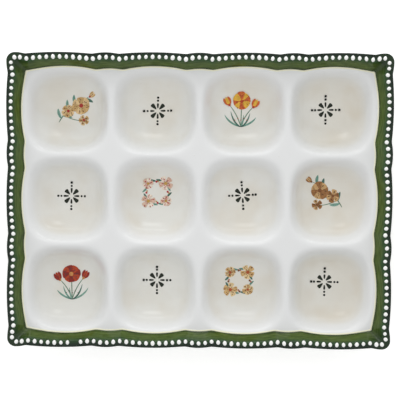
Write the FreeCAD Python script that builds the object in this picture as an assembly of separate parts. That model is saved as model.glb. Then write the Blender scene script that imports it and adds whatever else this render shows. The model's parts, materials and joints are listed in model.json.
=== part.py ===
"""Twelve-well egg platter in glazed stoneware: a pressed tray with a four by three grid of
rounded-square wells, a flared and scalloped rim under a coloured glaze, and a row of raised
slip beads along the rim's top edge.

Frame: X along the platter's long side, Y along its short side, +Z up. The origin is on the
table, below the middle of the tray. All sizes are in millimetres.
"""

import math
import os

import FreeCAD
import Part

Vector = FreeCAD.Vector

# ---- Driving dimensions ----------------------------------------------------------------

# The wells: a regular grid with a narrow ridge between neighbours.
WELL_COLUMNS = 4
WELL_ROWS = 3
WELL_PITCH_X = 70.5
WELL_PITCH_Y = 71.5
RIDGE_WIDTH = 2.2
WELL_DEPTH = 18.0
WELL_WALL_LEAN = 28.0  # degrees from upright
WELL_MOUTH_ROUND = 2.4
WELL_FLOOR_FILLET = 17.0
WELL_CORNER_RADIUS = 23.0
WELL_FLOOR_CORNER_RADIUS = 8.0

# The deck that is left between the outer wells and the rim's foot.
DECK_MARGIN_X = 2.5
DECK_MARGIN_Y = 0.75

# The clay wall of the cups, and the web of clay that joins them under the ridges.
CLAY_THICKNESS = 3.8
WEB_DEPTH = 7.0
CUP_LAP = 1.0

# The bare round pad under each cup, which the platter stands on.
PAD_HEIGHT = 1.6
PAD_RADIUS = 12.0

# The rim wall, from the glaze line on the deck up to its flat top.
RIM_HEIGHT = 9.0
RIM_INNER_FLARE = 4.9
RIM_OUTER_FLARE = 7.0
RIM_TOP_WIDTH = 5.2
RIM_EDGE_ROUND = 0.8
RIM_CORNER_RADIUS = 7.0
RIM_FOOT_CORNER_RADIUS = 1.8
RIM_CREASE_CORNER_RADIUS = 2.6
LINE_CORNER_RADIUS = 1.5

# Scallops: a wide one beside each well, and a narrow one between wells. They share each side
# evenly, but for a short length at its ends.
SCALLOP_END_X = 4.5
SCALLOP_END_Y = 6.0
NARROW_SCALLOP = 21.0
RIM_FOOT_WAVE = 1.3
RIM_EDGE_WAVE = 1.3
RIM_CREASE_WAVE = 2.1
GLAZE_LINE_WAVE = 3.0
# A narrow scallop's height as a share of a wide one's, and that of the half ones at the line's
# corners, which lie lower than the notches.
NARROW_CROWN = 0.85
CREASE_NARROW_CROWN = 0.6
LINE_NARROW_CROWN = 0.35
LINE_CORNER_CROWN = -0.2
# How far the scallops have fanned out, from the wells' pitch at 0 to the edge's own at 1.
CREASE_FAN = 0.8
LINE_FAN = 0.35

# The coats that lie on the clay.
GLAZE_THICKNESS = 0.4
LINE_WIDTH = 1.1
LINE_THICKNESS = 0.25

# The slip beads along the rim's top, and the place of the one that is missing.
BEAD_PITCH = 5.25
BEAD_RADIUS = 1.65
BEAD_HEIGHT = 1.2
BEAD_SHOULDER_RADIUS = 1.3
BEAD_SHOULDER_HEIGHT = 0.75
BEAD_INSET = 3.3
BEAD_WAVE = 1.8
BEAD_CORNER_RADIUS = 4.5
MISSING_BEAD_X = -98.8
MISSING_BEAD_SIDE = "front"

# How finely the rounded parts that repeat are cut into flats.
WELL_CORNER_STEPS = 3
RIM_CORNER_STEPS = 3
WELL_MOUTH_STEPS = 1
WELL_FILLET_STEPS = 3
CUP_FILLET_STEPS = 2
PAD_SIDES = 12
BEAD_SIDES = 5

# Outlines closer to a plane than this make plane faces.
FLATNESS = 1e-6

# ---- Sizes and levels worked out from them ------------------------------------------------

CUP_BOTTOM = PAD_HEIGHT
WELL_FLOOR = CUP_BOTTOM + CLAY_THICKNESS
DECK_TOP = WELL_FLOOR + WELL_DEPTH
WEB_BOTTOM = DECK_TOP - WEB_DEPTH
RIM_TOP = DECK_TOP + RIM_HEIGHT
CREASE_INSET = RIM_TOP_WIDTH
LINE_INSET = CREASE_INSET + RIM_INNER_FLARE

# The rim's outermost edge, measured over the scallops' crowns.
WELLS_LENGTH = WELL_COLUMNS * WELL_PITCH_X - RIDGE_WIDTH
WELLS_WIDTH = WELL_ROWS * WELL_PITCH_Y - RIDGE_WIDTH
PLATTER_LENGTH = WELLS_LENGTH + 2 * (DECK_MARGIN_X + LINE_INSET)
PLATTER_WIDTH = WELLS_WIDTH + 2 * (DECK_MARGIN_Y + LINE_INSET)
SCALLOP_PITCH_X = (PLATTER_LENGTH - 2 * SCALLOP_END_X) / WELL_COLUMNS
SCALLOP_PITCH_Y = (PLATTER_WIDTH - 2 * SCALLOP_END_Y) / WELL_ROWS

# The sides of the rim by the direction that each faces, in degrees about Z.
SIDES = {"right": 0, "back": 90, "left": 180, "front": 270}


# ---- The rim's scalloped outline -----------------------------------------------------------

def curve(start, middle, end):
    """An arc through three points, or a straight line where they lie in line."""
    chord = end - start
    if chord.cross(middle - start).Length < FLATNESS * chord.Length:
        return Part.LineSegment(start, end).toShape()
    return Part.Arc(start, middle, end).toShape()


def rim_outline(inset, z, wave, corner_radius, narrow_crown=NARROW_CROWN, corner_crown=None,
                fan=1.0):
    """The rim's outline at one level, as a list of edges that runs anticlockwise.

    inset is how far the wide scallops' crowns lie inside the platter's edge, and wave is how
    far the notches between scallops lie inside those crowns. A narrow scallop's crown stands
    narrow_crown of the wave above the notches. Each side ends in half a narrow scallop, whose
    crown stands corner_crown of the wave above them, or as high as the others.
    """
    half_narrow = NARROW_SCALLOP / 2
    narrow_drop = wave * (1 - narrow_crown)
    corner_drop = narrow_drop if corner_crown is None else wave * (1 - corner_crown)
    edges = []
    for facing in SIDES.values():
        turn = math.radians(facing)
        outward = Vector(round(math.cos(turn)), round(math.sin(turn)), 0)
        along = Vector(-outward.y, outward.x, 0)
        is_short_side = facing in (0, 180)
        crowns = WELL_ROWS if is_short_side else WELL_COLUMNS
        well_pitch = WELL_PITCH_Y if is_short_side else WELL_PITCH_X
        edge_pitch = SCALLOP_PITCH_Y if is_short_side else SCALLOP_PITCH_X
        pitch = well_pitch + fan * (edge_pitch - well_pitch)
        half_wide = pitch / 2 - half_narrow
        half_out = (PLATTER_LENGTH if is_short_side else PLATTER_WIDTH) / 2 - inset
        half_along = (PLATTER_WIDTH if is_short_side else PLATTER_LENGTH) / 2 - inset

        def place(u, drop):
            return outward * (half_out - drop) + along * u + Vector(0, 0, z)

        side_end = half_along - corner_drop - corner_radius
        last_notch = (crowns - 1) / 2 * pitch + half_wide
        midway = (side_end + last_notch) / 2
        midway_drop = corner_drop + (wave - corner_drop) / 4
        edges.append(curve(place(-side_end, corner_drop), place(-midway, midway_drop),
                           place(-last_notch, wave)))
        for index in range(crowns):
            u = (index - (crowns - 1) / 2) * pitch
            edges.append(curve(place(u - half_wide, wave), place(u, 0), place(u + half_wide, wave)))
            if index < crowns - 1:
                u += pitch / 2
                edges.append(curve(place(u - half_narrow, wave), place(u, narrow_drop),
                                   place(u + half_narrow, wave)))
        edges.append(curve(place(last_notch, wave), place(midway, midway_drop),
                           place(side_end, corner_drop)))
        centre = place(side_end, corner_drop + corner_radius)
        edges += straight_edges(corner_points(centre, corner_radius, facing, RIM_CORNER_STEPS))
    return edges


def corner_points(centre, radius, from_angle, flats):
    """The ends of a quarter turn's flats, which have their corners on the circle."""
    points = []
    for step in range(flats + 1):
        angle = math.radians(from_angle + 90 * step / flats)
        points.append(centre + Vector(math.cos(angle), math.sin(angle), 0) * radius)
    return points


def straight_edges(points):
    return [Part.LineSegment(a, b).toShape() for a, b in zip(points, points[1:])]


def band(lower, upper):
    """The faces between two outlines with as many edges, each one plane or ruled."""
    faces = []
    for a, b in zip(lower, upper):
        corners = [a.firstVertex().Point, a.lastVertex().Point,
                   b.lastVertex().Point, b.firstVertex().Point]
        outline = Part.makePolygon(corners + corners[:1])
        is_straight = all(edge.Curve.TypeId == "Part::GeomLine" for edge in (a, b))
        if is_straight and outline.findPlane(FLATNESS):
            faces.append(Part.Face(outline))
        else:
            faces.append(Part.makeRuledSurface(a, b))
    return faces


def flat(outline, hole=None):
    """The flat face inside one outline, or between it and a hole."""
    face = Part.Face(Part.Wire(outline))
    return face.cut(Part.Face(Part.Wire(hole))).Faces[0] if hole else face


def closed_solid(faces):
    """One solid from faces that close all round."""
    shell = Part.makeShell(faces)
    shell.sewShape()
    solid = Part.makeSolid(shell)
    if solid.Volume < 0:
        solid.reverse()
    return solid


def clay_outlines():
    """The clay's own outlines, from under the rim, over its top and down to the glaze line."""
    coat = GLAZE_THICKNESS
    return [
        rim_outline(RIM_OUTER_FLARE, WEB_BOTTOM, RIM_FOOT_WAVE, RIM_FOOT_CORNER_RADIUS),
        rim_outline(RIM_EDGE_ROUND - coat / 2, RIM_TOP - coat, RIM_EDGE_WAVE, RIM_CORNER_RADIUS),
        crease_outline(0, RIM_TOP - coat),
        line_outline(0, 0),
    ]


def crease_outline(inward, z):
    """Where the rim's flat top turns down into its inner slope, or a line beside it."""
    return rim_outline(CREASE_INSET + inward, z, RIM_CREASE_WAVE, RIM_CREASE_CORNER_RADIUS,
                       CREASE_NARROW_CROWN, fan=CREASE_FAN)


def line_outline(inward, upward):
    """Where the rim's glaze ends on the deck, or a line beside it."""
    return rim_outline(LINE_INSET + inward, DECK_TOP + upward, GLAZE_LINE_WAVE,
                       LINE_CORNER_RADIUS, LINE_NARROW_CROWN, LINE_CORNER_CROWN, LINE_FAN)


# ---- The wells and the cups under them -----------------------------------------------------

def rounded_square(half_x, half_y, radius, z):
    """A closed outline with each round corner cut into a few flats, as a list of edges."""
    points = []
    for corner, (sign_x, sign_y) in enumerate(((1, 1), (-1, 1), (-1, -1), (1, -1))):
        centre = Vector(sign_x * (half_x - radius), sign_y * (half_y - radius), z)
        points += corner_points(centre, radius, 90 * corner, WELL_CORNER_STEPS)
    return straight_edges(points + points[:1])


def bowl(offset=0.0, top_z=None):
    """A solid with a well's form, or offset outwards by the clay's thickness for its cup.

    A well's mouth is rounded over from the deck. Below it the wall runs straight down at the
    wells' lean and turns into the flat floor round a fillet. A cup's wall starts at top_z.
    """
    lean = math.radians(WELL_WALL_LEAN)
    turn = math.pi / 2 - lean
    # Every place of the section is an inset from the edge of the well's mouth, and a height.
    wall_inset = WELL_MOUTH_ROUND * math.tan(turn / 2)
    floor_inset = (wall_inset + WELL_DEPTH * math.tan(lean)
                   + WELL_FLOOR_FILLET * math.tan(turn / 2))
    if top_z is None:
        section = arc_section(0, DECK_TOP - WELL_MOUTH_ROUND, WELL_MOUTH_ROUND, 0, turn, WELL_MOUTH_STEPS)
        fillet_steps = WELL_FILLET_STEPS
    else:
        section = [(wall_inset + (DECK_TOP - top_z) * math.tan(lean) - offset / math.cos(lean), top_z)]
        fillet_steps = CUP_FILLET_STEPS
    section += arc_section(floor_inset, WELL_FLOOR + WELL_FLOOR_FILLET, -WELL_FLOOR_FILLET - offset,
                           turn, 0, fillet_steps)

    half_x = (WELL_PITCH_X - RIDGE_WIDTH) / 2
    half_y = (WELL_PITCH_Y - RIDGE_WIDTH) / 2
    corner_slope = (WELL_CORNER_RADIUS - WELL_FLOOR_CORNER_RADIUS) / floor_inset
    outlines = [
        rounded_square(half_x - inset, half_y - inset, WELL_CORNER_RADIUS - corner_slope * inset, z)
        for inset, z in section
    ]
    faces = [flat(outlines[0]), flat(outlines[-1])]
    for upper, lower in zip(outlines, outlines[1:]):
        faces += band(upper, lower)
    return closed_solid(faces)


def arc_section(inset, z, radius, from_slope, to_slope, flats):
    """Places of a section round an arc about (inset, z). A radius below zero is a hollow one's."""
    places = []
    for step in range(flats + 1):
        slope = from_slope + (to_slope - from_slope) * step / flats
        places.append((inset + radius * math.sin(slope), z + radius * math.cos(slope)))
    return places


def well_centres():
    for row in range(WELL_ROWS):
        for column in range(WELL_COLUMNS):
            yield Vector((column - (WELL_COLUMNS - 1) / 2) * WELL_PITCH_X,
                         (row - (WELL_ROWS - 1) / 2) * WELL_PITCH_Y, 0)


def at_each_well(shape):
    """A copy of the shape at every well."""
    copies = []
    for centre in well_centres():
        copy = shape.copy()
        copy.translate(centre)
        copies.append(copy)
    return copies


# ---- The pieces -----------------------------------------------------------------------------

def stoneware_body():
    """The pressed clay: rim, deck, wells, and the cups that bulge below them."""
    foot, edge, crease, line = clay_outlines()
    faces = [flat(foot), flat(edge, crease), flat(line)] + band(foot, edge) + band(crease, line)
    slab = closed_solid(faces)
    # The cups start inside the web, below the level where neighbours would meet.
    cups = at_each_well(bowl(CLAY_THICKNESS, WEB_BOTTOM + CUP_LAP))
    wells = at_each_well(bowl())
    return slab.fuse(cups).cut(wells)


def rim_glaze():
    """The coloured coat over the rim. It thins to nothing at the rim's foot and at the glaze line."""
    foot, edge, crease, line = clay_outlines()
    coat = GLAZE_THICKNESS
    outer_edge = rim_outline(0, RIM_TOP - RIM_EDGE_ROUND, RIM_EDGE_WAVE, RIM_CORNER_RADIUS)
    top_edge = rim_outline(RIM_EDGE_ROUND, RIM_TOP, RIM_EDGE_WAVE, RIM_CORNER_RADIUS)
    top_crease = crease_outline(coat, RIM_TOP)
    faces = [flat(top_edge, top_crease), flat(edge, crease)]
    for lower, upper in ((foot, edge), (foot, outer_edge), (outer_edge, top_edge),
                         (line, crease), (line, top_crease)):
        faces += band(lower, upper)
    return closed_solid(faces)


def glaze_line():
    """The pale line where the rim's glaze meets the white, a thin strip on the deck."""
    outer = line_outline(0, 0)
    crest = line_outline(LINE_WIDTH / 2, LINE_THICKNESS)
    inner = line_outline(LINE_WIDTH, 0)
    return closed_solid([flat(outer, inner)] + band(outer, crest) + band(crest, inner))


def bead():
    """One slip bead: a low dome on a flat base, at the origin."""
    def ring(radius, z):
        corners = [Vector(radius * math.cos(2 * math.pi * k / BEAD_SIDES),
                          radius * math.sin(2 * math.pi * k / BEAD_SIDES), z)
                   for k in range(BEAD_SIDES)]
        return Part.makePolygon(corners + corners[:1])
    crown = Part.Vertex(0, 0, BEAD_HEIGHT)
    return Part.makeLoft([ring(BEAD_RADIUS, 0), ring(BEAD_SHOULDER_RADIUS, BEAD_SHOULDER_HEIGHT),
                          crown], True, True)


def bead_rows():
    """The beads by the side of the rim that they lie on."""
    path = Part.Wire(rim_outline(BEAD_INSET, RIM_TOP, BEAD_WAVE, BEAD_CORNER_RADIUS))
    count = round(path.Length / BEAD_PITCH)
    rows = {side: [] for side in SIDES}
    for place in path.discretize(Number=count + 1)[:-1]:
        beyond_x = abs(place.x) - PLATTER_LENGTH / 2
        beyond_y = abs(place.y) - PLATTER_WIDTH / 2
        if beyond_x > beyond_y:
            side = "right" if place.x > 0 else "left"
        else:
            side = "back" if place.y > 0 else "front"
        rows[side].append(place)
    gap = min(rows[MISSING_BEAD_SIDE], key=lambda place: abs(place.x - MISSING_BEAD_X))
    rows[MISSING_BEAD_SIDE].remove(gap)
    one = bead()
    for side, places in rows.items():
        solids = []
        for place in places:
            copy = one.copy()
            copy.translate(place)
            solids.append(copy)
        rows[side] = Part.makeCompound(solids)
    return rows


def foot_pads():
    """The bare clay pads under the cups."""
    corners = [Vector(PAD_RADIUS * math.cos(2 * math.pi * k / PAD_SIDES),
                      PAD_RADIUS * math.sin(2 * math.pi * k / PAD_SIDES), 0)
               for k in range(PAD_SIDES)]
    pad = Part.Face(Part.makePolygon(corners + corners[:1])).extrude(Vector(0, 0, PAD_HEIGHT))
    return Part.makeCompound(at_each_well(pad))


def main():
    nodes = {
        "stoneware_body": stoneware_body(),
        "rim_glaze": rim_glaze(),
        "glaze_line": glaze_line(),
        "foot_pads": foot_pads(),
    }
    for side, row in bead_rows().items():
        nodes["beads_" + side] = row

    os.makedirs("parts", exist_ok=True)
    for name, shape in nodes.items():
        shape.exportStep("parts/" + name + ".step")
        box = shape.BoundBox
        print(f"{name}: {len(shape.Solids)} solids, {len(shape.Faces)} faces, valid "
              f"{shape.isValid()}, {shape.Volume / 1000:.1f} cm3, "
              f"z {box.ZMin:.2f} to {box.ZMax:.2f}")


main()
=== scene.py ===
"""A deviled egg platter of glazed stoneware with a beaded rim, dressed over its fixed frame.

The sections follow the platter as it is made: the pressed and white-glazed body, the bare feet,
the rim's coloured glaze, the pale line at its edge, the slip beads, the painted wells, and last
the studio. Lengths are in millimetres until a piece is finished, and then in metres.
"""

import json
import math
import random

import bmesh
import bpy
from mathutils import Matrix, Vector


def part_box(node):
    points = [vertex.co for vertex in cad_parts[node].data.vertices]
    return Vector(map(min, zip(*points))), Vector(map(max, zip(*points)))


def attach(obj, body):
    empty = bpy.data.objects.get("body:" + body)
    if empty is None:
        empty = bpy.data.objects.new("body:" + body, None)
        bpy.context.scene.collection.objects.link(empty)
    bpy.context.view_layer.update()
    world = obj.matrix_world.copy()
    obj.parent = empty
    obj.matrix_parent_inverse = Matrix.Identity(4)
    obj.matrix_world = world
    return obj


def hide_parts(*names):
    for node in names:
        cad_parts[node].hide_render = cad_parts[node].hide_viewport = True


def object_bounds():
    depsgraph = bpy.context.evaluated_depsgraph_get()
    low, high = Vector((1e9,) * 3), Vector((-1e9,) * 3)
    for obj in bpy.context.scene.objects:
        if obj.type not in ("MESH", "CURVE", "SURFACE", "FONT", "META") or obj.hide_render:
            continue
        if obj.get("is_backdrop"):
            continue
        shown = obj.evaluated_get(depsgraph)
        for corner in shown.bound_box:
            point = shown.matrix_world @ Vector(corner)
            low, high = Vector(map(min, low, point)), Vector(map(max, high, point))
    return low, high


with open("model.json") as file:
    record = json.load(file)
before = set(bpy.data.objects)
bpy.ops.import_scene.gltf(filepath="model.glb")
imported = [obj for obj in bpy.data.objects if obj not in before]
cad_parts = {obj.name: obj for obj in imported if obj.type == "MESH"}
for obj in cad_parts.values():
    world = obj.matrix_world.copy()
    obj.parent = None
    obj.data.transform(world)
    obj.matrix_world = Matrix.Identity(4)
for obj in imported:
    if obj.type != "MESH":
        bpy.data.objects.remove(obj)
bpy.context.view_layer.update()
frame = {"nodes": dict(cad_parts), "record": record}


# ---- The stoneware body ----------------------------------------------------------------------
# One pressing of stoneware: the rim's wall, the deck, the ridges, twelve wells and the cups that
# hang below them. It is dipped in white glaze, painted cooler over the ridges as painted light, and
# creamier and darker in the wells as painted shade.

MM = 0.001


def frame_box(node):
    """A node's lowest and highest corner, in millimetres."""
    low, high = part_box(node)
    return low / MM, high / MM


HALF_LENGTH, HALF_WIDTH, RIM_TOP = frame_box("rim_glaze")[1]
WEB_BOTTOM = frame_box("rim_glaze")[0].z
LINE_REACH, _, DECK_TOP = frame_box("glaze_line")[0]
CUP_BOTTOM = frame_box("foot_pads")[1].z
LINE_INSET = HALF_LENGTH + LINE_REACH

well_centres = []
for opening in frame["record"]["physics"]["openings"]:
    if opening["name"].endswith("_floor"):
        low, high = (Vector(corner) / MM for corner in opening["box_m"])
        well_centres.append((low + high) / 2)
WELL_COLUMNS = sorted({round(centre.x, 2) for centre in well_centres})
WELL_ROWS = sorted({round(centre.y, 2) for centre in well_centres})
PITCH_X = WELL_COLUMNS[1] - WELL_COLUMNS[0]
PITCH_Y = WELL_ROWS[1] - WELL_ROWS[0]

WALL_GAP = 5.1  # between neighbouring wells, where the lines of their walls reach the deck
CREST_ROUND = 1.1  # how far a well's wall eases into the deck
WELL_REACH = 0.8  # how far from its centre a well is felt, in pitches
CLAY_THICKNESS = 3.8
WALL_TILT = math.radians(62)  # from the level
FLOOR_ROUND = 17.0  # the radius between a well's wall and its floor
EDGE_SQUARENESS = 3.1  # the power of a well's outline at its edge, where 2 is round
FLOOR_SQUARENESS = 2.1  # and at its middle
WEB_ROUND = 0.9  # how softly the cups run into the web

WELL_FLOOR = CUP_BOTTOM + CLAY_THICKNESS
WELL_DEPTH = DECK_TOP - WELL_FLOOR
HALF_WELL_X = (PITCH_X - WALL_GAP) / 2
HALF_WELL_Y = (PITCH_Y - WALL_GAP) / 2
FLOOR_INSET = WELL_DEPTH / math.tan(WALL_TILT) + FLOOR_ROUND * math.tan(WALL_TILT / 2)


def well_inset(dx, dy):
    """How far a place lies inside a well's edge. The plan is a soft square that turns round."""
    u, v = abs(dx) / HALF_WELL_X, abs(dy) / HALF_WELL_Y
    reach = (u ** EDGE_SQUARENESS + v ** EDGE_SQUARENESS) ** (1 / EDGE_SQUARENESS)
    power = FLOOR_SQUARENESS + (EDGE_SQUARENESS - FLOOR_SQUARENESS) * min(1, reach)
    reach = (u ** power + v ** power) ** (1 / power)
    return (1 - reach) * (HALF_WELL_X + HALF_WELL_Y) / 2


def bowl_height(inset, thickness=0):
    """The height of a well's surface at an inset, or of its cup's, which lies outside it."""
    across = FLOOR_INSET - inset
    radius = FLOOR_ROUND + thickness
    wall_across = radius * math.sin(WALL_TILT)
    if across <= 0:
        return WELL_FLOOR - thickness
    curved = min(across, wall_across)
    height = WELL_FLOOR + FLOOR_ROUND - math.sqrt(radius ** 2 - curved ** 2)
    return height + (across - curved) * math.tan(WALL_TILT)


def nearby_insets(x, y):
    """The insets of a place in the wells around it."""
    return [well_inset(x - column, y - row)
            for column in WELL_COLUMNS if abs(x - column) < WELL_REACH * PITCH_X
            for row in WELL_ROWS if abs(y - row) < WELL_REACH * PITCH_Y]


def deck_height(x, y):
    """The height of the white surface: the deck, less each well, whose edge is eased over."""
    height = DECK_TOP
    for inset in nearby_insets(x, y):
        eased = CREST_ROUND * math.log1p(math.exp(inset / CREST_ROUND))
        height -= DECK_TOP - bowl_height(eased)
    return height


def underside_height(x, y):
    """The height of the body's underside: the web, and the cups that hang from it."""
    heights = [WEB_BOTTOM] + [bowl_height(inset, CLAY_THICKNESS) for inset in nearby_insets(x, y)]
    return -WEB_ROUND * math.log(sum(math.exp(-height / WEB_ROUND) for height in heights))


# The rim's scalloped outline: a wide scallop beside each well and a narrow one between wells.
SCALLOP_END_X = 4.5  # from the end of the scallops' pitches to the end of the side, along X
SCALLOP_END_Y = 6.0
HALF_NARROW = 10.5  # half of a narrow scallop's length
NARROW_CROWN = 0.85  # how far out its crown stands at the edge: 0 is the notches, and 1 a wide crown
NOTCH_EASE = 0.12  # how soft the notches are, as a share of their depth
EDGE_WAVE = 1.3  # the notches' depth at the foot and at the edge
LINE_FAN = 0.35  # how far the scallops have fanned out at the line, where 1 is the edge
CORNER_SPAN = 10.0  # of stations, for half a corner


class Side:
    """One side of the rim: which way it faces, how far it reaches and how its scallops repeat."""

    def __init__(self, turns):
        is_end = turns % 2 == 0
        self.turns = turns
        self.half_out = HALF_LENGTH if is_end else HALF_WIDTH
        self.half_along = HALF_WIDTH if is_end else HALF_LENGTH
        self.crowns = len(WELL_ROWS if is_end else WELL_COLUMNS)
        self.well_pitch = PITCH_Y if is_end else PITCH_X
        scallop_end = SCALLOP_END_Y if is_end else SCALLOP_END_X
        self.edge_pitch = 2 * (self.half_along - scallop_end) / self.crowns

    def pitch(self, fan):
        """The scallops' pitch where they have fanned out so far from the wells' own."""
        return self.well_pitch + fan * (self.edge_pitch - self.well_pitch)

    def last_notch(self, fan=1.0):
        """How far the last notch lies from the side's middle."""
        return self.crowns * self.pitch(fan) / 2 - HALF_NARROW


SIDES = [Side(turns) for turns in range(4)]  # right, back, left, front


def rim_level(inset, height, wave, corner_radius, narrow_crown=NARROW_CROWN, corner_crown=NARROW_CROWN,
              fan=1.0):
    """One level of the rim: its wide crowns' inset from the edge, its height, its notches' depth,
    its corners' radius, how high narrow and corner crowns stand, and how far its scallops fan out."""
    return Vector((inset, height, wave, corner_radius, narrow_crown, corner_crown, fan))


def foot_level(inset, upward=0):
    """Where the rim's outer wall starts, beside the web."""
    return rim_level(inset, WEB_BOTTOM + upward, EDGE_WAVE, corner_radius=1.8)


def edge_level(inset, height, corner_radius=6.0):
    """The rim's outer edge, at its top."""
    return rim_level(inset, height, EDGE_WAVE, corner_radius)


def crease_level(inset, height):
    """Where the rim's flat top turns down into its inner slope."""
    return rim_level(inset, height, wave=2.1, corner_radius=2.6, narrow_crown=0.6,
                     corner_crown=0.6, fan=0.8)


def line_level(inward, upward):
    """Where the rim's slope meets the deck, whose corners lie lower than its notches."""
    return rim_level(LINE_INSET + inward, DECK_TOP + upward, wave=3.0, corner_radius=1.5,
                     narrow_crown=0.35, corner_crown=-0.2, fan=LINE_FAN)


def scallop_drop(side, along, level):
    """How far the outline lies inside its wide crowns. Notches are eased, as glaze fills them."""
    inset, _, wave, radius, narrow_crown, corner_crown, fan = level
    reach = abs(along)
    pitch = side.pitch(fan)
    half_wide = pitch / 2 - HALF_NARROW
    last_crown = (side.crowns - 1) / 2 * pitch
    from_wide = (reach - last_crown) % pitch
    from_wide = min(from_wide, pitch - from_wide)
    if reach > last_crown:
        from_wide = reach - last_crown
        corner_drop = wave * (1 - corner_crown)
        side_end = side.half_along - inset - corner_drop - radius
        fall = (side_end - reach) / (side_end - side.last_notch(fan))
        # Short of the last notch, the curve to a corner that is deeper would run far outwards.
        if corner_drop > wave:
            fall = min(1, fall)
        beside = corner_drop + (wave - corner_drop) * fall ** 2
    else:
        crown_drop = wave * (1 - narrow_crown)
        from_narrow = pitch / 2 - from_wide
        beside = crown_drop + (wave - crown_drop) * (from_narrow / HALF_NARROW) ** 2
    wide = wave * (from_wide / half_wide) ** 2
    ease = NOTCH_EASE * wave
    lower, upper = min(wide, beside), max(wide, beside)
    return lower - ease * math.log1p(math.exp((lower - upper) / ease))


def rim_point(side, station, level):
    """A point of the rim's outline. Stations are millimetres along a side's edge from its middle,
    but past the last notch a span of them covers half the corner."""
    inset, height, wave, radius, _, corner_crown, fan = level
    corner_drop = wave * (1 - corner_crown)
    share = abs(station) / side.last_notch()
    reach = min(share, 1) * side.last_notch(fan)
    corner = 0
    turn = 0
    if share > 1:
        share = (abs(station) - side.last_notch()) / CORNER_SPAN
        side_end = side.half_along - inset - corner_drop - radius
        reach += min(1, 2 * share) * (side_end - reach)
        turn = max(0, 2 * share - 1) * math.pi / 4
        corner = radius
    out = side.half_out - inset - scallop_drop(side, reach, level) - corner * (1 - math.cos(turn))
    along = math.copysign(reach + corner * math.sin(turn), station)
    if side.turns == 0:
        return Vector((out, along, height))
    if side.turns == 1:
        return Vector((-along, out, height))
    if side.turns == 2:
        return Vector((-out, -along, height))
    return Vector((along, -out, height))


GRID_STEP = 1.3
GRID_CROWDING = 0.45  # 0 would space the lines evenly
PULL_WIDTH = 16.0  # how far in from the border the grid bends along with it
BORDER_TUCK = 0.8  # how far the white runs on under the green
COAT_DEPTH = 0.6  # from the green's top down to the clay's


def crowded(share, half, centre, pitch):
    """Where a grid line lies, from its share of the half. The lines crowd together at the ridges."""
    def warp(place):
        bend = GRID_CROWDING * pitch / math.tau
        return place + bend * math.sin(math.tau * (place - centre) / pitch)
    return warp(share * half) * half / warp(half)


def border_place(share_x, share_y):
    """The side and station of a place on the grid's border."""
    on_end = abs(share_x) >= abs(share_y)
    side = SIDES[(0 if share_x > 0 else 2) if on_end else (1 if share_y > 0 else 3)]
    share, half, centre, pitch = ((share_y, HALF_WIDTH - LINE_INSET, WELL_ROWS[0], PITCH_Y) if on_end
                                  else (share_x, HALF_LENGTH - LINE_INSET, WELL_COLUMNS[0], PITCH_X))
    along = crowded(share, half, centre, pitch)
    line_notch = side.last_notch(LINE_FAN)
    station = along * side.last_notch() / line_notch
    if abs(along) > line_notch:
        past = (abs(along) - line_notch) / (half - line_notch)
        station = math.copysign(side.last_notch() + past * CORNER_SPAN, along)
    return side, -station if side.turns in (1, 2) else station


def fitted_sheet(bm, level, height_at):
    """A grid of faces that fills one of the rim's outlines, at a height for each place. It notes
    where on the grid each vertex lies, from -1 to 1."""
    inset, _, wave, radius = level[:4]
    half_x, half_y = HALF_LENGTH - inset, HALF_WIDTH - inset
    columns = round(2 * half_x / GRID_STEP / 2) * 2
    rows = round(2 * half_y / GRID_STEP / 2) * 2
    made = bmesh.ops.create_grid(bm, x_segments=columns, y_segments=rows, size=1)["verts"]
    for vert in made:
        share_x, share_y = round(vert.co.x, 6), round(vert.co.y, 6)
        vert[bm.verts.layers.float["share_x"]] = share_x
        vert[bm.verts.layers.float["share_y"]] = share_y
        if max(abs(share_x), abs(share_y)) > 1 - 1e-5:
            side, station = border_place(share_x, share_y)
            point = rim_point(side, station, level)
        else:
            x = crowded(share_x, half_x, WELL_COLUMNS[0], PITCH_X)
            y = crowded(share_y, half_y, WELL_ROWS[0], PITCH_Y)
            near_x = min(1, max(0, 1 - (half_x - abs(x)) / PULL_WIDTH))
            near_y = min(1, max(0, 1 - (half_y - abs(y)) / PULL_WIDTH))
            last_y = min(abs(y), half_y - wave - radius)
            last_x = min(abs(x), half_x - wave - radius)
            pull_x = scallop_drop(SIDES[0], last_y, level) * near_x ** 2 * (3 - 2 * near_x)
            pull_y = scallop_drop(SIDES[1], last_x, level) * near_y ** 2 * (3 - 2 * near_y)
            point = Vector((x - math.copysign(pull_x, x), y - math.copysign(pull_y, y), 0))
        point.z = height_at(point.x, point.y)
        vert.co = point
    return made


def finish_piece(bm, name, material):
    """A mesh in millimetres made an object in metres, smooth, with its place in its mesh."""
    bmesh.ops.scale(bm, vec=(MM, MM, MM), verts=bm.verts)
    mesh = bpy.data.meshes.new(name)
    bm.to_mesh(mesh)
    bm.free()
    mesh.shade_smooth()
    mesh.materials.append(material)
    piece = bpy.data.objects.new(name, mesh)
    bpy.context.scene.collection.objects.link(piece)
    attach(piece, "root")
    return piece


def linear(code):
    """An sRGB hex colour in the linear values that shaders take."""
    parts = [int(code[i:i + 2], 16) / 255 for i in (1, 3, 5)]
    return tuple(c / 12.92 if c <= 0.04045 else ((c + 0.055) / 1.055) ** 2.4 for c in parts) + (1,)


def add_node(material, kind, inputs=None, output=None, **settings):
    """Adds a node and returns one of its outputs. settings are the node's own properties, and
    inputs gives sockets, by name, a number, a colour or another node's output."""
    node = material.node_tree.nodes.new(kind)
    for name, value in settings.items():
        setattr(node, name, value)
    for name, value in (inputs or {}).items():
        socket = next(s for s in node.inputs if s.enabled and name in (s.name, s.identifier))
        if isinstance(value, bpy.types.NodeSocket):
            material.node_tree.links.new(value, socket)
        else:
            socket.default_value = value
    if output:
        return node.outputs[output]
    return next((s for s in node.outputs if s.enabled), None)


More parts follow.
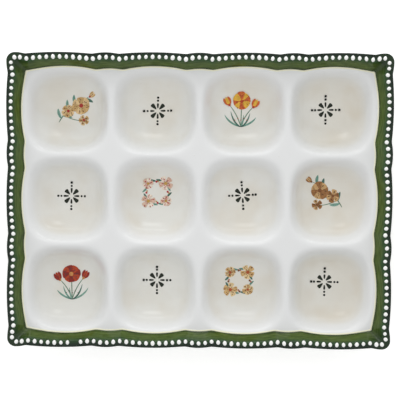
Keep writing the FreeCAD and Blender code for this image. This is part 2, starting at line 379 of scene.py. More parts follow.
def new_material(name):
    """A material whose nodes are still to be made."""
    material = bpy.data.materials.new(name)
    material.use_nodes = True
    material.node_tree.nodes.clear()
    return material


def per_mm(size):
    """A pattern's scale on Object coordinates, which are in metres, from its size in mm."""
    return 1 / (size * MM)


def noise(material, place, size, detail):
    """Soft noise, whose patches are about as many millimetres across as the size."""
    return add_node(material, "ShaderNodeTexNoise", {
        "Vector": place, "Scale": per_mm(size), "Detail": detail})


def mix(material, share, first, second, blend_type="MIX"):
    """The first colour where the share is 0, and the second laid over it where it is 1."""
    return add_node(material, "ShaderNodeMix", {
        "Factor_Float": share, "A_Color": first, "B_Color": second},
        data_type="RGBA", blend_type=blend_type)


def remap(material, value, span, new_span, curve="LINEAR"):
    """A value that runs over its new span while it runs over its old one, and stays within it."""
    return add_node(material, "ShaderNodeMapRange", {
        "Value": value, "From Min": span[0], "From Max": span[1],
        "To Min": new_span[0], "To Max": new_span[1]}, interpolation_type=curve)


def calculate(material, operation, first, second):
    """Two values added, multiplied or divided."""
    return add_node(material, "ShaderNodeMath", {"Value": first, "Value_001": second},
                    operation=operation)


def with_surface(material, inputs):
    """The material again, once its nodes end in a surface with these inputs."""
    shader = add_node(material, "ShaderNodeBsdfPrincipled", inputs)
    add_node(material, "ShaderNodeOutputMaterial", {"Surface": shader})
    return material


def white_glaze():
    """Tin-white gloss glaze, dipped and fired. Painted shade makes it creamy and darker in patches
    deep in the wells, more so towards the right end, and painted light makes it cooler on the crests.
    It has a few pale brown specks, a slow ripple and a fine peel."""
    glaze = new_material("white_tin_glaze")
    place = add_node(glaze, "ShaderNodeTexCoord", output="Object")
    height = add_node(glaze, "ShaderNodeSeparateXYZ", {"Vector": place}, output="Z")
    # Painted light and shade by height: 0 on the wells' floors, rising to 1 on the deck and crests.
    lit_height_share = remap(glaze, height, (WELL_FLOOR * MM, DECK_TOP * MM), (0.0, 1.0), "SMOOTHSTEP")
    cloud = add_node(glaze, "ShaderNodeTexNoise", {
        "Vector": place, "Scale": per_mm(38), "Detail": 3.0, "Roughness": 0.55})
    tone = calculate(glaze, "MULTIPLY", cloud, 0.30)
    # Painted cool light over the crests, mixed with random patches of tone.
    cool_light_and_tone = calculate(glaze, "ADD", lit_height_share, tone)
    cool_lit_colour = mix(glaze, cool_light_and_tone, linear("#E8E7E0"), linear("#E6E7E7"))
    drift = noise(glaze, place, 27, 2.0)
    warm = remap(glaze, drift, (0.42, 0.68), (0.0, 0.4))
    # Painted shade: darker and creamier towards the right end, the side away from the light on the left.
    far_right = add_node(glaze, "ShaderNodeSeparateXYZ", {"Vector": place}, output="X")
    painted_right_shade = remap(glaze, far_right, (0.45 * HALF_LENGTH * MM, 0.85 * HALF_LENGTH * MM),
                    (0.0, 0.4), "SMOOTHSTEP")
    tone_and_right_shade = calculate(glaze, "ADD", warm, painted_right_shade)
    # Painted shade: full deep in the wells, none up on the crests.
    thick = remap(glaze, lit_height_share, (0.1, 0.6), (1.0, 0.0))
    # Random cream patches and the right end's painted shade, shown only where the wells hold painted
    # shade.
    cream_tone_and_shade = calculate(glaze, "MULTIPLY", tone_and_right_shade, thick)
    colour = mix(glaze, cream_tone_and_shade, cool_lit_colour, linear("#D9CFBC"))
    specks = add_node(glaze, "ShaderNodeTexVoronoi", {"Vector": place, "Scale": per_mm(9)},
                      output="Distance")
    speck = remap(glaze, specks, (0.018, 0.04), (0.35, 0.0))
    specked = mix(glaze, speck, colour, linear("#B9A98E"))
    peel = noise(glaze, place, 1.6, 2.0)
    ripple = noise(glaze, place, 14, 1.0)
    ripple_bump = add_node(glaze, "ShaderNodeBump", {"Height": ripple, "Strength": 0.25,
                                                     "Distance": 0.5 * MM})
    bump = add_node(glaze, "ShaderNodeBump", {"Height": peel, "Strength": 0.12, "Distance": 0.05 * MM,
                                              "Normal": ripple_bump})
    gloss = remap(glaze, cloud, (0.3, 0.7), (0.10, 0.19))
    return with_surface(glaze, {
        "Base Color": specked, "Roughness": gloss, "IOR": 1.52, "Normal": bump})


WHITE_GLAZE = white_glaze()

bm = bmesh.new()
bm.verts.layers.float.new("share_x")
bm.verts.layers.float.new("share_y")
body_foot = foot_level(7.1)
fitted_sheet(bm, body_foot, underside_height)
bmesh.ops.reverse_faces(bm, faces=bm.faces)
top = set(fitted_sheet(bm, line_level(-BORDER_TUCK, 0), deck_height))
border = [edge for edge in bm.edges if edge.is_boundary and edge.verts[0] in top]
for level in (crease_level(5.7, RIM_TOP - COAT_DEPTH), edge_level(1.2, RIM_TOP - COAT_DEPTH), body_foot):
    pulled = bmesh.ops.extrude_edge_only(bm, edges=border)["geom"]
    ring = {item for item in pulled if isinstance(item, bmesh.types.BMVert)}
    for vert in ring:
        shares = (vert[bm.verts.layers.float["share_x"]], vert[bm.verts.layers.float["share_y"]])
        vert.co = rim_point(*border_place(*shares), level)
        if level is body_foot:
            vert.co.z = underside_height(vert.co.x, vert.co.y)
    border = [item for item in pulled
              if isinstance(item, bmesh.types.BMEdge) and ring.issuperset(item.verts)]
bmesh.ops.remove_doubles(bm, verts=bm.verts, dist=0.01)
bmesh.ops.recalc_face_normals(bm, faces=bm.faces)
white_body = finish_piece(bm, "white_body", WHITE_GLAZE)
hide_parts("stoneware_body")


# ---- The bare feet ---------------------------------------------------------------------------
# The bottoms of the cups are wiped clean of glaze before the firing, so that the platter doesn't
# stick to the kiln shelf. Each is a low ring of bare buff clay round a shallow wiped hollow.

FOOT_RADIUS = 12.0
FOOT_HOLLOW = 0.45
FOOT_SIDES = 64


def bare_clay():
    """Fired buff stoneware, matt and slightly rough, with dark iron grains of the clay."""
    clay = new_material("bare_buff_stoneware")
    place = add_node(clay, "ShaderNodeTexCoord", output="Object")
    tone = noise(clay, place, 7, 4.0)
    body = mix(clay, tone, linear("#B79C7F"), linear("#CDB598"))
    grains = add_node(clay, "ShaderNodeTexVoronoi", {"Vector": place, "Scale": per_mm(1.3)},
                      output="Distance")
    grain = remap(clay, grains, (0.10, 0.22), (0.75, 0.0))
    grained = mix(clay, grain, body, linear("#7A5C43"))
    grit = noise(clay, place, 0.5, 3.0)
    bump = add_node(clay, "ShaderNodeBump", {"Height": grit, "Strength": 0.5, "Distance": 0.12 * MM})
    return with_surface(clay, {
        "Base Color": grained, "Roughness": 0.88, "Normal": bump})


bm = bmesh.new()
# The section, as radius and height: the hollow, the ring that it stands on, and the eased edge.
profile = [(0, FOOT_HOLLOW), (FOOT_RADIUS - 5.5, FOOT_HOLLOW), (FOOT_RADIUS - 4.6, 0.05),
           (FOOT_RADIUS - 4.2, 0), (FOOT_RADIUS - 0.7, 0), (FOOT_RADIUS - 0.2, 0.15),
           (FOOT_RADIUS, 0.5), (FOOT_RADIUS + 0.1, CUP_BOTTOM + 0.1)]
for centre in well_centres:
    outline = [bm.verts.new((centre.x + radius, centre.y, height)) for radius, height in profile]
    edges = [bm.edges.new(pair) for pair in zip(outline, outline[1:])]
    bmesh.ops.spin(bm, geom=outline + edges, cent=(centre.x, centre.y, 0), axis=(0, 0, 1),
                   angle=math.tau, steps=FOOT_SIDES, use_merge=True)
bmesh.ops.remove_doubles(bm, verts=bm.verts, dist=0.001)
rims = [edge for edge in bm.edges if edge.is_boundary]
bmesh.ops.holes_fill(bm, edges=rims, sides=0)
bmesh.ops.recalc_face_normals(bm, faces=bm.faces)
bare_feet = finish_piece(bm, "bare_feet", bare_clay())
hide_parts("foot_pads")


# ---- The rim's green glaze -------------------------------------------------------------------
# A second glaze, brushed over the rim from its foot up to the edge, over the flat top and down
# the inner slope. It pools dark on the top and breaks to olive where it runs thin on the slope.

# The corners of its section: the face that shows, from the foot over the top to the line, and the
# back, which is buried in the clay. Each corner between the face's ends is eased.
COAT_FACE = (foot_level(7.0), edge_level(0.0, RIM_TOP, corner_radius=7.0), crease_level(5.5, RIM_TOP),
             line_level(-0.2, 0), line_level(0.3, -0.05))
COAT_EASES = (1.3, 1.1, 1.6)
COAT_BACK = (line_level(0, -0.7), crease_level(6.0, RIM_TOP - 1.2), edge_level(1.6, RIM_TOP - 1.2),
             foot_level(7.4, 0.3))
EASE_STEPS = 6  # on each eased corner of the section
RUN_STEP = 1.6  # the longest step between them
STATION_STEP = 1.0
CORNER_STATIONS = 9
SETTLE_HEIGHT = 4.0  # how far above the deck its hollows are still felt
CORNER_DARKENING_REACH = (19, 8)  # how far from both sides of a corner the darkening starts and is full


def length_between(a, b):
    """How far apart two levels are, across the rim."""
    return math.hypot(a[0] - b[0], a[1] - b[1])


def eased_levels(corners, eases):
    """Levels from the first corner to the last, with each corner between eased by a curve that
    starts and ends that far from it, and the runs between cut into short steps."""
    turns = [[corners[0]]]
    for before, corner, after, ease in zip(corners, corners[1:], corners[2:], eases):
        start = corner.lerp(before, min(0.5, ease / length_between(before, corner)))
        end = corner.lerp(after, min(0.5, ease / length_between(corner, after)))
        shares = [step / EASE_STEPS for step in range(EASE_STEPS + 1)]
        turns.append([start.lerp(corner, t).lerp(corner.lerp(end, t), t) for t in shares])
    turns.append([corners[-1]])
    levels = turns[0]
    for turn in turns[1:]:
        start = levels[-1]
        steps = math.ceil(length_between(start, turn[0]) / RUN_STEP)
        levels += [start.lerp(turn[0], step / steps) for step in range(1, steps)] + turn
    return levels


def all_stations(step, corner_steps):
    """Every station round the rim, side by side and anticlockwise."""
    places = []
    for side in SIDES:
        notch = side.last_notch()
        count = round(2 * notch / step)
        run = [-notch + 2 * notch * k / count for k in range(count + 1)]
        corner = [notch + CORNER_SPAN * k / corner_steps for k in range(1, corner_steps + 1)]
        places += [(side, -station) for station in reversed(corner[:-1])]
        places += [(side, station) for station in run + corner]
    return places


def settle(point):
    """Lowers a point near the deck by as much as the deck lies below its flat level there."""
    near = min(1, max(0, 1 - (point.z - DECK_TOP) / SETTLE_HEIGHT))
    point.z += near * (deck_height(point.x, point.y) - DECK_TOP)
    return point


def ring_round_rim(bm, levels, stations):
    """A closed ring of glaze whose section runs through the levels. It notes how far round the
    rim and how far across the section each vertex lies, and returns the length round the rim."""
    around = bm.verts.layers.float.new("around")
    across = bm.verts.layers.float.new("across")
    station = bm.verts.layers.int.new("station")
    first = bmesh.ops.create_circle(bm, segments=len(stations), radius=1)["verts"]
    so_far = 0
    for number, vert in enumerate(first):
        vert[station] = number
        vert.co = settle(rim_point(*stations[number], levels[0]))
        if number:
            so_far += (vert.co - first[number - 1].co).length
        vert[around] = so_far
    loop = start = list(bm.edges)
    distance = 0
    for before, level in zip(levels, levels[1:]):
        pulled = bmesh.ops.extrude_edge_only(bm, edges=loop)["geom"]
        ring = {item for item in pulled if isinstance(item, bmesh.types.BMVert)}
        distance += length_between(before, level)
        for vert in ring:
            vert.co = settle(rim_point(*stations[vert[station]], level))
            vert[across] = distance
        loop = [item for item in pulled
                if isinstance(item, bmesh.types.BMEdge) and ring.issuperset(item.verts)]
    bmesh.ops.bridge_loops(bm, edges=start + loop)
    bmesh.ops.recalc_face_normals(bm, faces=bm.faces)
    return so_far


def lay_pattern_map(bm, total):
    """A UV map in metres, along the rim and across it, for patterns that follow the rim."""
    uv = bm.loops.layers.uv.new("along_and_across")
    around = bm.verts.layers.float["around"]
    across = bm.verts.layers.float["across"]
    for face in bm.faces:
        far = max(vert[around] for vert in face.verts)
        for loop in face.loops:
            along = loop.vert[around]
            if far - along > total / 2:
                along += total
            loop[uv].uv = (along * MM, loop.vert[across] * MM)


def green_glaze(across_total):
    """Copper-green gloss glaze, brushed on: dark where it pools on the flat top, olive where it runs
    thin down the inner slope, in soft streaks along the brush's way, and darker towards the corners."""
    glaze = new_material("copper_green_glaze")
    place = add_node(glaze, "ShaderNodeTexCoord", output="Object")
    mapped = add_node(glaze, "ShaderNodeTexCoord", output="UV")
    across = add_node(glaze, "ShaderNodeSeparateXYZ", {"Vector": mapped}, output="Y")
    drift = noise(glaze, place, 11, 3.0)
    wander = remap(glaze, drift, (0.3, 0.7), (-1.1 * MM, 1.1 * MM))
    moved = calculate(glaze, "ADD", across, wander)
    share = calculate(glaze, "DIVIDE", moved, across_total * MM)
    ramp = add_node(glaze, "ShaderNodeValToRGB", {"Fac": share})
    stops = ramp.node.color_ramp.elements
    # From the foot of the outer wall, over the flat top at the half, to the toe of the slope.
    bands = ((0.0, "#223F24"), (0.42, "#1A3522"), (0.50, "#0B1F13"), (0.58, "#12291A"),
             (0.68, "#30502C"), (0.78, "#4F632C"), (0.90, "#55682B"), (1.0, "#34451F"))
    while len(stops) < len(bands):
        stops.new(0.5)
    for stop, (position, code) in zip(stops, bands):
        stop.position = position
        stop.color = linear(code)
    stretch = add_node(glaze, "ShaderNodeMapping", {"Vector": mapped, "Scale": (1.0, 7.0, 1.0)})
    streaks = noise(glaze, stretch, 9, 4.0)
    streak = remap(glaze, streaks, (0.35, 0.7), (0.0, 0.8))
    brushed = mix(glaze, streak, ramp, linear("#5A6A2C"), blend_type="SOFT_LIGHT")
    near_end = []
    # Darker towards the rim's four corners, from where the darkening starts to where it is full.
    for axis, half in (("X", HALF_LENGTH), ("Y", HALF_WIDTH)):
        from_middle = add_node(glaze, "ShaderNodeSeparateXYZ", {"Vector": place}, output=axis)
        reach = add_node(glaze, "ShaderNodeMath", {"Value": from_middle}, operation="ABSOLUTE")
        span = [(half - inward) * MM for inward in CORNER_DARKENING_REACH]
        near_end.append(remap(glaze, reach, span, (0.0, 0.9), "SMOOTHSTEP"))
    corner_darkening = calculate(glaze, "MULTIPLY", near_end[0], near_end[1])
    corner_darkened_colour = mix(glaze, corner_darkening, brushed, linear("#1C3019"))
    ripple = noise(glaze, place, 5, 2.0)
    bump = add_node(glaze, "ShaderNodeBump", {"Height": ripple, "Strength": 0.45, "Distance": 0.5 * MM})
    return with_surface(glaze, {
        "Base Color": corner_darkened_colour, "Roughness": 0.12, "IOR": 1.40, "Normal": bump})


bm = bmesh.new()
face_levels = eased_levels(COAT_FACE, COAT_EASES)
across_face = sum(length_between(a, b) for a, b in zip(face_levels, face_levels[1:]))
total = ring_round_rim(bm, face_levels + list(COAT_BACK), all_stations(STATION_STEP, CORNER_STATIONS))
lay_pattern_map(bm, total)
green_rim = finish_piece(bm, "green_rim", green_glaze(across_face))
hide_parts("rim_glaze")


# ---- The pale line ---------------------------------------------------------------------------
# A pale ivory line that stands a little proud where the green ends on the white. It covers the brushed
# edge.

LINE_WIDTH = 1.1
LINE_THICKNESS = 0.25
LINE_STEP = 1.4
LINE_CORNER_STATIONS = 6


def ivory_glaze():
    """Ivory gloss, a little deeper and paler in soft patches along the line."""
    glaze = new_material("ivory_line_glaze")
    place = add_node(glaze, "ShaderNodeTexCoord", output="Object")
    cloud = noise(glaze, place, 8, 3.0)
    # Paler and creamier than the white glaze beside it, in soft patches.
    colour = mix(glaze, cloud, linear("#E9E7C4"), linear("#F7F6E2"))
    return with_surface(glaze, {
        "Base Color": colour, "Roughness": 0.14, "IOR": 1.52})


bm = bmesh.new()
# The line's section, in shares of its width and thickness: a low rounded back on a buried foot.
section = ((-0.1, -1.6), (-0.1, 0.2), (0.12, 0.75), (0.5, 1.0), (0.85, 0.7), (1.0, 0.0), (1.0, -1.6))
levels = [line_level(inward * LINE_WIDTH, upward * LINE_THICKNESS) for inward, upward in section]
ring_round_rim(bm, levels, all_stations(LINE_STEP, LINE_CORNER_STATIONS))
ivory_line = finish_piece(bm, "ivory_line", ivory_glaze())
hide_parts("glaze_line")


# ---- The slip beads --------------------------------------------------------------------------
# Drops of thick white slip, squeezed one by one onto the rim's top before the firing. No two are
# quite alike: they differ in size, lean a little and taper towards the back.

BEAD_RADIUS = 1.65
BEAD_HEIGHT = 1.2
BEAD_TAPER = 0.12  # of the width, for each radius towards the back
BEAD_LEAN = 0.09  # at most, sideways for each millimetre of length
BEAD_SETBACK = 0.8  # how much further from the rim's edge they sit than the frame's own
SETBACK_REACH = 9.0  # only beads as near as this to a side's edge are set back from it


def bead_places(node):
    """The centres of the beads of one side, from the separate solids of its node."""
    beads = bmesh.new()
    beads.from_mesh(frame["nodes"][node].data)
    bmesh.ops.scale(beads, vec=(1 / MM,) * 3, verts=beads.verts)
    bmesh.ops.remove_doubles(beads, verts=beads.verts, dist=0.01)
    waiting = set(beads.verts)
    places = []
    while waiting:
        group, edge_of_group = set(), [waiting.pop()]
        while edge_of_group:
            vert = edge_of_group.pop()
            group.add(vert)
            for edge in vert.link_edges:
                other = edge.other_vert(vert)
                if other in waiting:
                    waiting.remove(other)
                    edge_of_group.append(other)
        crown = max(group, key=lambda vert: vert.co.z)
        places.append(crown.co.copy())
    beads.free()
    return sorted(places, key=lambda place: (round(place.x, 2), round(place.y, 2)))


def set_back(along, half):
    """A bead's place along one axis, moved in from a side that it lies near."""
    is_near = half - abs(along) < SETBACK_REACH
    return along - math.copysign(BEAD_SETBACK, along) if is_near else along


def slip_white():
    """White slip under clear glaze: smooth, glossy and dense."""
    slip = new_material("glazed_white_slip")
    place = add_node(slip, "ShaderNodeTexCoord", output="Object")
    cloud = noise(slip, place, 6, 2.0)
    colour = mix(slip, cloud, linear("#FAFBF7"), linear("#FFFFFF"))
    return with_surface(slip, {
        "Base Color": colour, "Roughness": 0.15, "IOR": 1.52})


SLIP_WHITE = slip_white()
random.seed(41)
for side_name in ("right", "back", "left", "front"):
    bm = bmesh.new()
    drawn_x, drawn_y = (1.0, 1.16) if side_name in ("back", "front") else (1.03, 1.03)
    for place in bead_places("beads_" + side_name):
        size = random.uniform(0.9, 1.05) * BEAD_RADIUS
        width = size * drawn_x * random.uniform(0.93, 1.05)
        length = size * drawn_y * random.uniform(0.93, 1.05)
        made = bmesh.ops.create_icosphere(bm, subdivisions=2, radius=1)["verts"]
        bmesh.ops.scale(bm, vec=(width, length, BEAD_HEIGHT), verts=made)
        lean = random.uniform(-BEAD_LEAN, BEAD_LEAN)
        for vert in made:
            if vert.co.y > 0:
                vert.co.x *= 1 - BEAD_TAPER * vert.co.y / size
            vert.co.x += lean * vert.co.y
        x, y = set_back(place.x, HALF_LENGTH), set_back(place.y, HALF_WIDTH)
        bmesh.ops.translate(bm, vec=(x, y, RIM_TOP), verts=made)
    beads = finish_piece(bm, "slip_beads_" + side_name, SLIP_WHITE)
    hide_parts("beads_" + side_name)


# ---- The painted stars -----------------------------------------------------------------------
# A common folk star in every other well, brushed in dark green under the clear glaze: four fat
# petals, four fine strokes between them, and two dots beyond each of those. Every star is a little
# off the centre of its well.

PAINT_LIFT = 0.06  # above the glaze, for the first layer
PAINT_LAYER = 0.015  # from one layer to the next
PAINT_DEPTH = 0.5  # of its body, from its surface down
STROKE_STEP = 1.2


def turned_by(angle, length):
    """A step of a length at an angle from the X axis."""
    return Vector((math.cos(angle), math.sin(angle))) * length


def paint_mesh():
    """An empty mesh whose vertices carry the colour of their paint."""
    bm = bmesh.new()
    bm.verts.layers.float_color.new("paint")
    return bm


def lay_paint(bm, verts, code, layer):
    """Colours a patch of paint and lays it on the glaze, over the layers that went on before."""
    for vert in verts:
        vert[bm.verts.layers.float_color["paint"]] = linear(code)
        vert.co.z = deck_height(vert.co.x, vert.co.y) + PAINT_LIFT + layer * PAINT_LAYER


def brush_stroke(bm, points, widths, code, layer=0):
    """A stroke of the brush that bends from the first of three points to the last. The widths
    are those at its start, middle and end, and both its tips are rounded."""
    start, bend, end = (Vector(point) for point in points)
    steps = 4 + math.ceil((end - start).length / STROKE_STEP)
    lanes = 2 * math.ceil(max(widths) / STROKE_STEP / 2)
    made = bmesh.ops.create_grid(bm, x_segments=steps, y_segments=lanes, size=1)["verts"]
    for vert in made:
        along, across = (1 - math.cos((vert.co.x + 1) / 2 * math.pi)) / 2, vert.co.y
        place = start.lerp(bend, along).lerp(bend.lerp(end, along), along)
        heading = (bend - start).lerp(end - bend, along).normalized()
        first, middle, last = widths
        rising = first + (middle - first) * along
        falling = middle + (last - middle) * along
        width = rising * (1 - along) + falling * along
        half = width / 2 * math.sqrt(max(0, 1 - abs(2 * along - 1) ** 5))
        vert.co.x = place.x - heading.y * across * half
        vert.co.y = place.y + heading.x * across * half
    lay_paint(bm, made, code, layer)
    bmesh.ops.remove_doubles(bm, verts=made, dist=0.004)


def dab(bm, place, radius, code, layer=0):
    """A round touch of the brush's tip."""
    made = bmesh.ops.create_circle(bm, cap_ends=True, segments=10, radius=radius)["verts"]
    for vert in made:
        vert.co.x += place[0]
        vert.co.y += place[1]
    lay_paint(bm, made, code, layer)


def underglaze_paint(name, lighter, darker, pooling):
    """Brushed underglaze colour under the clear gloss glaze: thin and thick within each stroke,
    as the water carried the pigment to the places where it pooled."""
    paint = new_material(name)
    place = add_node(paint, "ShaderNodeTexCoord", output="Object")
    own = add_node(paint, "ShaderNodeVertexColor", layer_name="paint")
    pools = noise(paint, place, pooling, 3.0)
    light = remap(paint, pools, (0.35, 0.65), (darker, lighter))
    washed = add_node(paint, "ShaderNodeVectorMath", {"Vector": own, "Scale": light}, operation="SCALE")
    return with_surface(paint, {
        "Base Color": washed, "Roughness": 0.14, "IOR": 1.40})


def finish_paint(bm, name, material):
    """Gives the paint its thin body, which reaches into the glaze, and makes it a piece."""
    bmesh.ops.recalc_face_normals(bm, faces=bm.faces)
    if sum(face.normal.z for face in bm.faces) < 0:
        bmesh.ops.reverse_faces(bm, faces=bm.faces)
    bmesh.ops.solidify(bm, geom=bm.faces[:], thickness=PAINT_DEPTH)
    bmesh.ops.recalc_face_normals(bm, faces=bm.faces)
    painted = finish_piece(bm, name, material)
    painted.data.set_sharp_from_angle(angle=math.radians(40))


STAR_GREEN = underglaze_paint("underglaze_dark_green", lighter=1.6, darker=0.45, pooling=1.3)
# By column and row from the front left: the star's shift to the right and back, and its turn.
star_wells = {(0, 1): (0.3, 2.8, 0), (1, 0): (0.6, 5.2, 0), (1, 2): (0.7, 1.5, 0),
              (2, 1): (0.2, 4.2, 3.5), (3, 0): (-2.3, 4.8, -1), (3, 2): (-3.1, 3.0, 1)}
random.seed(7)
for number, ((column, row), (shift_x, shift_y, turned)) in enumerate(star_wells.items(), 1):
    bm = paint_mesh()
    centre = Vector((WELL_COLUMNS[column] + shift_x, WELL_ROWS[row] + shift_y))
    for quarter in range(4):
        petal = math.radians(90 * quarter + 45 + turned + random.uniform(-3, 3))
        ray = math.radians(90 * quarter + turned + random.uniform(-1.5, 1.5))
        out = turned_by(petal, 1)
        reach = random.uniform(6.9, 7.5)
        brush_stroke(bm, (centre + out * 1.7, centre + out * 4.4, centre + out * reach),
                     (1.0, 2.4, 4.2), "#0E1C09")
        out = turned_by(ray, 1)
        brush_stroke(bm, (centre + out * random.uniform(2.0, 2.7), centre + out * 4.2,
                          centre + out * random.uniform(6.2, 6.8)), (0.9, 1.7, 1.8), "#0E1608")
        dab(bm, centre + out * random.uniform(8.2, 8.6), random.uniform(0.86, 0.98), "#0E1608")
        dab(bm, centre + out * random.uniform(10.8, 11.2), random.uniform(0.96, 1.08), "#0A1006")
    finish_paint(bm, "painted_star_" + str(number), STAR_GREEN)


# ---- The painted sprigs ----------------------------------------------------------------------
# A sprig of garden flowers in each of the other wells, in many underglaze colours: an arched
# spray, a posy and a wreath, each painted twice, with speckled petals and blue-green leaves.

LEAF_CODES = ("#6E9A8B", "#4C7265", "#7FA596")
STEM_CODE = "#5B7F66"
SPRIG_SIZE = 1.12


def leaf(bm, base, angle, length, width, layer=1):
    """A leaf in one stroke, a little bent, with the line of its midrib on it."""
    bend = base + turned_by(angle + 0.25, length * 0.55)
    tip = base + turned_by(angle, length)
    brush_stroke(bm, (base, bend, tip), (width * 0.4, width * 1.35, width * 0.25),
                 random.choice(LEAF_CODES), layer)
    brush_stroke(bm, (base, bend, base.lerp(tip, 0.85)), (0.25, 0.35, 0.2), "#35594E", layer + 1)


def blossom(bm, centre, radius, codes, petals=6, turned=0.0, layer=3):
    """An open flower: rounded petals round a dotted heart, each with a few darker speckles."""
    light, shade, speck, heart = codes
    for number in range(petals):
        angle = turned + math.tau * number / petals + random.uniform(-0.12, 0.12)
        reach = radius * random.uniform(0.92, 1.06)
        out = turned_by(angle, 1)
        colour = light if number % 2 else shade
        points = (centre + out * radius * 0.12, centre + out * radius * 0.6, centre + out * reach)
        brush_stroke(bm, points, (radius * 0.3, radius * 0.75, radius * 0.95), colour,
                     layer + number * 0.4)
        for _ in range(3):
            speck_angle = angle + random.uniform(-0.3, 0.3)
            place = centre + turned_by(speck_angle, radius * random.uniform(0.45, 0.9))
            along = turned_by(angle, random.uniform(0.5, 0.9))
            brush_stroke(bm, (place - along, place, place + along), (0.3, 0.65, 0.4), speck, layer + 4)
    dab(bm, centre, radius * 0.24, heart, layer + 5)
    for number in range(6):
        dab(bm, centre + turned_by(number * math.tau / 6, radius * 0.36), 0.32, speck, layer + 5)


def bud(bm, base, angle, length, codes):
    """A closed flower: three petals side by side, a streak on the middle one and a dab below."""
    light, shade, speck, heart = codes
    for lean, code in ((-0.45, shade), (0.45, shade), (0.0, light)):
        tip = base + turned_by(angle + lean * 0.55, length)
        bend = base + turned_by(angle + lean * 1.5, length * 0.6)
        brush_stroke(bm, (base, bend, tip), (length * 0.25, length * 0.55, length * 0.15), code,
                     3.5 + lean if lean else 5)
    middle, end = base + turned_by(angle, length * 0.4), base + turned_by(angle, length * 0.75)
    brush_stroke(bm, (base, middle, end), (0.3, 0.5, 0.3), speck, 6)
    dab(bm, base, length * 0.16, heart, 6)


def spray(bm, place, codes):
    """An arched spray: a bent stem with leaves on both sides, three flowers and a bud at its tip."""
    stem = [place(-12, -10), place(-5, 3), place(11, 9)]
    brush_stroke(bm, stem, (1.0, 0.8, 0.5), STEM_CODE)
    for share, side in ((0.12, 1), (0.2, -1), (0.42, 1), (0.62, 1), (0.7, -1), (0.86, -1)):
        base = stem[0].lerp(stem[1], share).lerp(stem[1].lerp(stem[2], share), share)
        heading = (place(-5 + 16 * share, 3 + 9 * share) - place(-9, -3)).normalized()
        angle = math.atan2(heading.y, heading.x) + side * 1.0
        leaf(bm, base, angle, random.uniform(7.5, 9.0), 3.0)
    blossom(bm, place(-5, -1.5), 5.4, codes, turned=0.3)
    blossom(bm, place(4.5, 2.5), 7.2, codes, petals=7, layer=9)
    blossom(bm, place(6.5, -8.0), 4.3, codes, petals=5, turned=0.7)
    brush_stroke(bm, (place(6.5, -8), place(2, -9.5), place(-8, -5)), (0.5, 0.6, 0.7), STEM_CODE)
    away = place(15, 12) - place(11, 9)
    bud(bm, place(11, 9), math.atan2(away.y, away.x), 5.0, codes)


def posy(bm, place, codes):
    """A posy: three stems that fan out of a tuft of long leaves to a flower and two buds."""
    foot = place(0, -13)
    for head_x, head_y in ((-8.5, 3.0), (0.5, 4.0), (9.0, 1.5)):
        brush_stroke(bm, (foot, place(head_x * 0.3, -4), place(head_x, head_y)),
                     (0.9, 0.7, 0.6), STEM_CODE)
    for tip_x, tip_y, width in ((-12, -4, 2.4), (-7.5, -1.5, 2.0), (11, -6, 2.4),
                                (6.5, -3, 2.0), (2.0, -4, 1.8)):
        tip = place(tip_x, tip_y)
        brush_stroke(bm, (foot, place(tip_x * 0.75, -10.5), tip), (0.8, width, 0.4),
                     random.choice(LEAF_CODES), 1)
    blossom(bm, place(0.5, 6.0), 7.4, codes, petals=8, turned=0.2, layer=7)
    for head_x, head_y in ((-8.5, 3.0), (9.0, 1.5)):
        away = place(head_x * 1.3, head_y + 5) - place(head_x, head_y)
        bud(bm, place(head_x, head_y), math.atan2(away.y, away.x), 7.0, codes)
    for number in range(5):
        dab(bm, place(-4.5 + 2.2 * number, -8.0 + 1.2 * (number % 2)), 0.45, codes[2], 5)


def wreath(bm, place, codes):
    """A wreath: leaves laid round a ring, with four flowers on it and berries between them."""
    ring = 10.2
    centre = place(0, 0)
    for number in range(12):
        angle = math.tau * number / 12 + 0.1
        base = centre + turned_by(angle, ring + 0.9 * (-1) ** number)
        leaf(bm, base, angle + math.pi / 2 + 0.35 * (-1) ** number, random.uniform(4.6, 5.6), 2.1)
    for number, radius in enumerate((5.8, 4.4, 5.8, 4.5)):
        angle = math.tau * number / 4 + 0.8
        blossom(bm, centre + turned_by(angle, ring), radius, codes, petals=5 + number % 2, turned=angle)
    for number in range(4):
        berry = centre + turned_by(math.tau * number / 4 + 0.05, ring * 0.86)
        dab(bm, berry, 0.9, codes[2], 5)
        dab(bm, berry + turned_by(number - 0.8, 1.5), 0.65, codes[3], 5)


SPRIG_PAINT = underglaze_paint("underglaze_colours", lighter=1.12, darker=0.82, pooling=1.8)
# Each palette holds a flower's light, its shade, its speckles and its heart.
TAN = ("#DDBE8C", "#C8A46C", "#6B3B22", "#A5312A")
ORANGE = ("#DFAE3C", "#C9602A", "#A03418", "#B7421F")
ROSE = ("#EBDCCB", "#D9B9A4", "#B0343C", "#C29A52")
BROWN = ("#C9A26E", "#9A6A3C", "#5A3A22", "#7C4E2A")
RUSSET = ("#B5411D", "#8E2418", "#5D3A36", "#C98A4C")
SAND = ("#E2C795", "#D2AD74", "#7A4A2A", "#B0542C")
# By column and row: the sprig's shift, its layout, the way it faces and its palette.
sprig_wells = {(0, 2): (3.3, 2.7, spray, 1, TAN), (2, 2): (-1.6, 3.3, posy, 1, ORANGE),
               (1, 1): (0.4, 6.3, wreath, 1, ROSE), (3, 1): (-1.9, 5.8, spray, -1, BROWN),
               (0, 0): (0.8, 3.1, posy, -1, RUSSET), (2, 0): (-2.1, 5.0, wreath, -1, SAND)}
random.seed(19)
for number, ((column, row), sprig) in enumerate(sprig_wells.items(), 1):
    shift_x, shift_y, layout, facing, codes = sprig
    bm = paint_mesh()

    def place(x, y):
        """A place on this sprig, whose drawing may face the other way."""
        x, y = x * SPRIG_SIZE, y * SPRIG_SIZE
        return Vector((WELL_COLUMNS[column] + shift_x + facing * x, WELL_ROWS[row] + shift_y + y))

    layout(bm, place, codes)
    finish_paint(bm, "painted_sprig_" + str(number), SPRIG_PAINT)


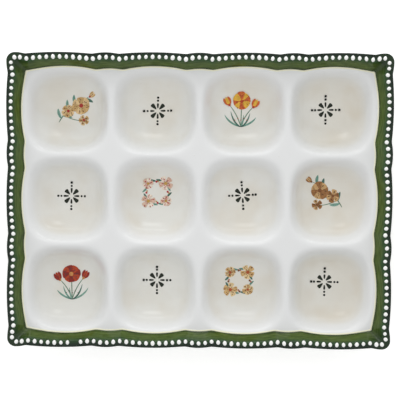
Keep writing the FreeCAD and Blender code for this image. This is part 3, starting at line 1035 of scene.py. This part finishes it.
# ---- The studio ------------------------------------------------------------------------------
# A pale table that glows a little, soft lights from behind and from the left in an even white
# surround, and the photograph's camera.

LAMP_DISTANCE = 1.0  # in metres, as the lamps' sizes are
FLOOR_HALF = 1500
SENSOR_WIDTH = 36
PICTURE_WIDTH = 400
FOCAL_PIXELS = 746.7
CAMERA_PLACE = Vector((8.07, 22.73, 619.53))
CAMERA_TURN = (-0.0367, 0.0125, 0.0061)  # in radians, from straight down


def area_light(name, azimuth, elevation, width, height, watts, glossy=True):
    """A white softbox that faces the platter. Azimuth 0 is in front and 90 on the right. One that
    isn't glossy lights the platter without a reflection in its glaze."""
    lamp = bpy.data.lights.new(name, "AREA")
    lamp.shape = "RECTANGLE"
    lamp.size = width
    lamp.size_y = height
    lamp.energy = watts
    turn, tilt = math.radians(azimuth), math.radians(elevation)
    away = Vector((math.sin(turn) * math.cos(tilt), -math.cos(turn) * math.cos(tilt), math.sin(tilt)))
    light = bpy.data.objects.new(name, lamp)
    light.location = away * LAMP_DISTANCE
    light.rotation_euler = away.to_track_quat("Z", "Y").to_euler()
    light.visible_camera = False
    light.visible_glossy = glossy
    bpy.context.scene.collection.objects.link(light)


area_light("low_lamp_back", 180, 24, width=0.10, height=0.09, watts=1.2, glossy=False)
area_light("low_softbox_back", 180, 10, width=1.6, height=0.30, watts=3.0)
area_light("softbox_back", 180, 48, width=0.32, height=0.35, watts=0.60)
area_light("softbox_left", 270, 35, width=0.9, height=0.5, watts=0.24, glossy=False)

world = bpy.data.worlds.new("studio")
world.use_nodes = True
world.node_tree.nodes["Background"].inputs["Color"].default_value = (1, 1, 1, 1)
world.node_tree.nodes["Background"].inputs["Strength"].default_value = 0.80
bpy.context.scene.world = world

paper = with_surface(new_material("white_paper_sweep"), {
    "Base Color": linear("#FAFAF9"), "Roughness": 0.9, "Emission Color": linear("#FFFFFF"),
    "Emission Strength": 0.35})
bm = bmesh.new()
bmesh.ops.create_grid(bm, x_segments=1, y_segments=1, size=FLOOR_HALF)
floor = finish_piece(bm, "floor", paper)
floor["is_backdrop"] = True

camera = bpy.data.objects.new("camera", bpy.data.cameras.new("camera"))
camera.data.sensor_width = SENSOR_WIDTH
camera.data.lens = SENSOR_WIDTH * FOCAL_PIXELS / PICTURE_WIDTH
camera.location = CAMERA_PLACE * MM
camera.rotation_euler = CAMERA_TURN
bpy.context.scene.collection.objects.link(camera)
bpy.context.scene.camera = camera
bpy.context.scene.view_settings.view_transform = "Standard"

low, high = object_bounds()
